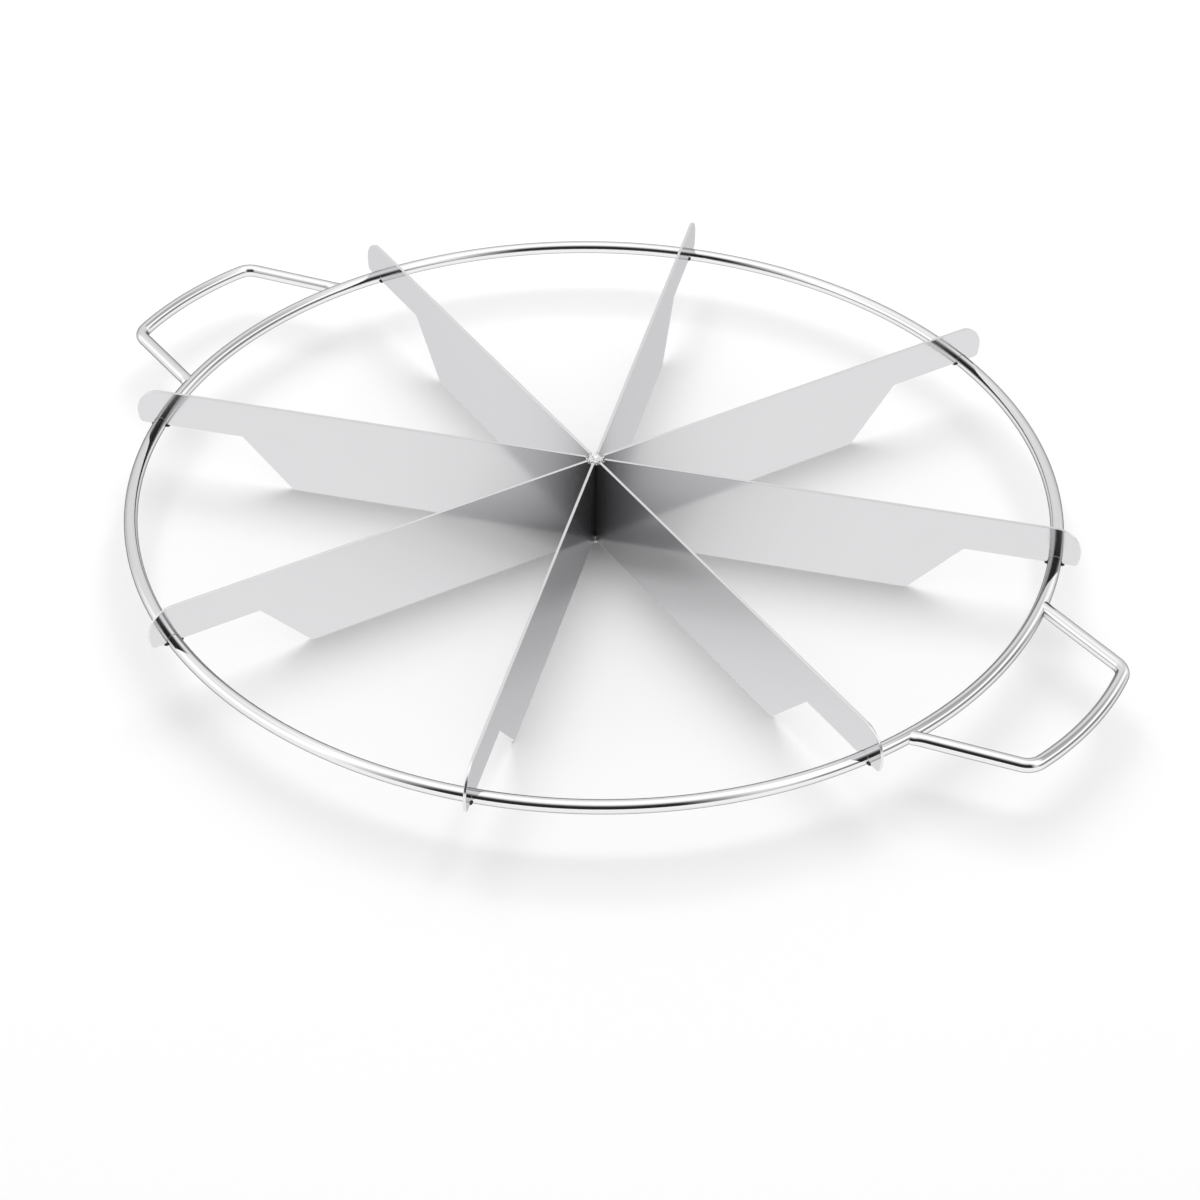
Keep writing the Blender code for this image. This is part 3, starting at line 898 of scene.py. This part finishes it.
print("front of the tent points to", [round(value, 2) for value in FRONT])

# %% [markdown]
# ## Laying the tent's parts over each other
# The side walls come first, and the back wall takes their place where its ramp across says so. The
# seams, the gap and the opening are then laid over them one after another: each is there as far as
# both of its ramps say, which is their product.

# %% The tent
levels_across, levels_up = {}, {}
for place, ramps, levels in ((round_tent, TENT_ACROSS, levels_across),
                             (upward, TENT_UP, levels_up)):
    for name, stops in ramps.items():
        ramp = add_node(sky_tree, "ShaderNodeValToRGB", Fac=place)
        grey_stops(ramp.color_ramp, stops)
        levels[name] = ramp.outputs["Color"]

tent = add_node(sky_tree, "ShaderNodeMix", {"data_type": "RGBA"}, _0=levels_across["back wall"],
                _6=levels_up["side wall"], _7=levels_up["back wall"]).outputs[2]
for name, grey in DARK_GREYS.items():
    share = add_node(sky_tree, "ShaderNodeMath", {"operation": "MULTIPLY"},
                     _0=levels_across[name], _1=levels_up[name])
    tent = add_node(sky_tree, "ShaderNodeMix", {"data_type": "RGBA"}, _0=share.outputs[0],
                    _6=tent, _7=(grey, grey, grey, 1.0)).outputs[2]
print("tent of", len(sky_tree.nodes), "nodes")

# %% [markdown]
# ## Who sees the tent
# Light Path tells the kinds of ray apart. The camera sees plain white, mirrors see the tent, and
# all the rest get an even sky, which lights the floor and the marker from every side.

# %% Who sees the tent
TENT_LEVEL = 1.16
SKY_LEVEL = 0.72
WHITE = (1.0, 1.0, 1.0, 1.0)

mirrored = add_node(sky_tree, "ShaderNodeBackground", Color=tent, Strength=TENT_LEVEL)
seen = add_node(sky_tree, "ShaderNodeBackground", Color=WHITE, Strength=1.0)
even = add_node(sky_tree, "ShaderNodeBackground", Color=WHITE, Strength=SKY_LEVEL)
ray = add_node(sky_tree, "ShaderNodeLightPath")
shiny = add_node(sky_tree, "ShaderNodeMath", {"operation": "MAXIMUM"},
                 _0=ray.outputs["Is Glossy Ray"], _1=ray.outputs["Is Transmission Ray"])
in_mirrors = add_node(sky_tree, "ShaderNodeMixShader", _0=shiny.outputs[0],
                      _1=even.outputs[0], _2=mirrored.outputs[0])
in_view = add_node(sky_tree, "ShaderNodeMixShader", _0=ray.outputs["Is Camera Ray"],
                   _1=in_mirrors.outputs[0], _2=seen.outputs[0])
add_node(sky_tree, "ShaderNodeOutputWorld", Surface=in_view.outputs[0])
print("sky at", SKY_LEVEL, "and tent at", TENT_LEVEL)

# %% [markdown]
# ## The lamp
# One broad soft lamp overhead gives the floor its faint shadows. Mirrors don't see it, because the
# tent already shows them a bright top.

# %% The lamp
SOFTBOX_SIZE = 1.4
SOFTBOX_WATTS = 14.0
SOFTBOX_PLACE = (-0.35, 0.45, 1.5)

lamp_data = bpy.data.lights.new("overhead_softbox", "AREA")
lamp_data.shape = "RECTANGLE"
lamp_data.size = SOFTBOX_SIZE
lamp_data.size_y = SOFTBOX_SIZE
lamp_data.energy = SOFTBOX_WATTS
lamp = bpy.data.objects.new("overhead_softbox", lamp_data)
bpy.context.scene.collection.objects.link(lamp)
lamp.location = SOFTBOX_PLACE
lamp.visible_glossy = False
lamp.rotation_euler = (-lamp.location).to_track_quat("-Z", "Y").to_euler()
print("lamp", round(lamp.location.length, 2), "m from the hub")

# %% [markdown]
# ## The camera
# It looks down at 39 degrees from about three quarters of a metre. Its place is stated from the
# top of the hub: a distance back along the line of sight, then a small shift to the side and
# down, and a slight roll.

# %% The camera
VIEW_DOWN = math.radians(39.09)
VIEW_ROLL = math.radians(1.17)
DISTANCE = 777.66 * MM
ASIDE = 2.18 * MM
UPWARD = -41.42 * MM
FOCAL_PIXELS = 2669.94
IMAGE_WIDTH = 1200
SENSOR_WIDTH_MM = 36.0

camera_data = bpy.data.cameras.new("camera")
camera_data.sensor_width = SENSOR_WIDTH_MM
camera_data.lens = FOCAL_PIXELS / IMAGE_WIDTH * SENSOR_WIDTH_MM
camera = bpy.data.objects.new("camera", camera_data)
bpy.context.scene.collection.objects.link(camera)
turned = Matrix.Rotation(VIEW_TURN, 3, "Z")
ahead = turned @ Vector((0, math.cos(VIEW_DOWN), -math.sin(VIEW_DOWN)))
right = turned @ Vector((1, 0, 0))
up = turned @ Vector((0, math.sin(VIEW_DOWN), math.cos(VIEW_DOWN)))
spot = Vector((0, 0, BLADE_TOP)) - ahead * DISTANCE + right * ASIDE + up * UPWARD
rolled_right = right * math.cos(VIEW_ROLL) + up * math.sin(VIEW_ROLL)
rolled_up = up * math.cos(VIEW_ROLL) - right * math.sin(VIEW_ROLL)
axes = Matrix((rolled_right, rolled_up, -ahead)).transposed()
camera.matrix_world = Matrix.Translation(spot) @ axes.to_4x4()
bpy.context.scene.camera = camera
bpy.context.scene.view_settings.view_transform = "Standard"
print("lens", round(camera_data.lens, 1), "mm")

# %% [markdown]
# ## Bring the scene up to date
# The finished marker has to be the size of the imported one. This cell brings the view layer up
# to date.

# %% Update the view layer
bpy.context.view_layer.update()
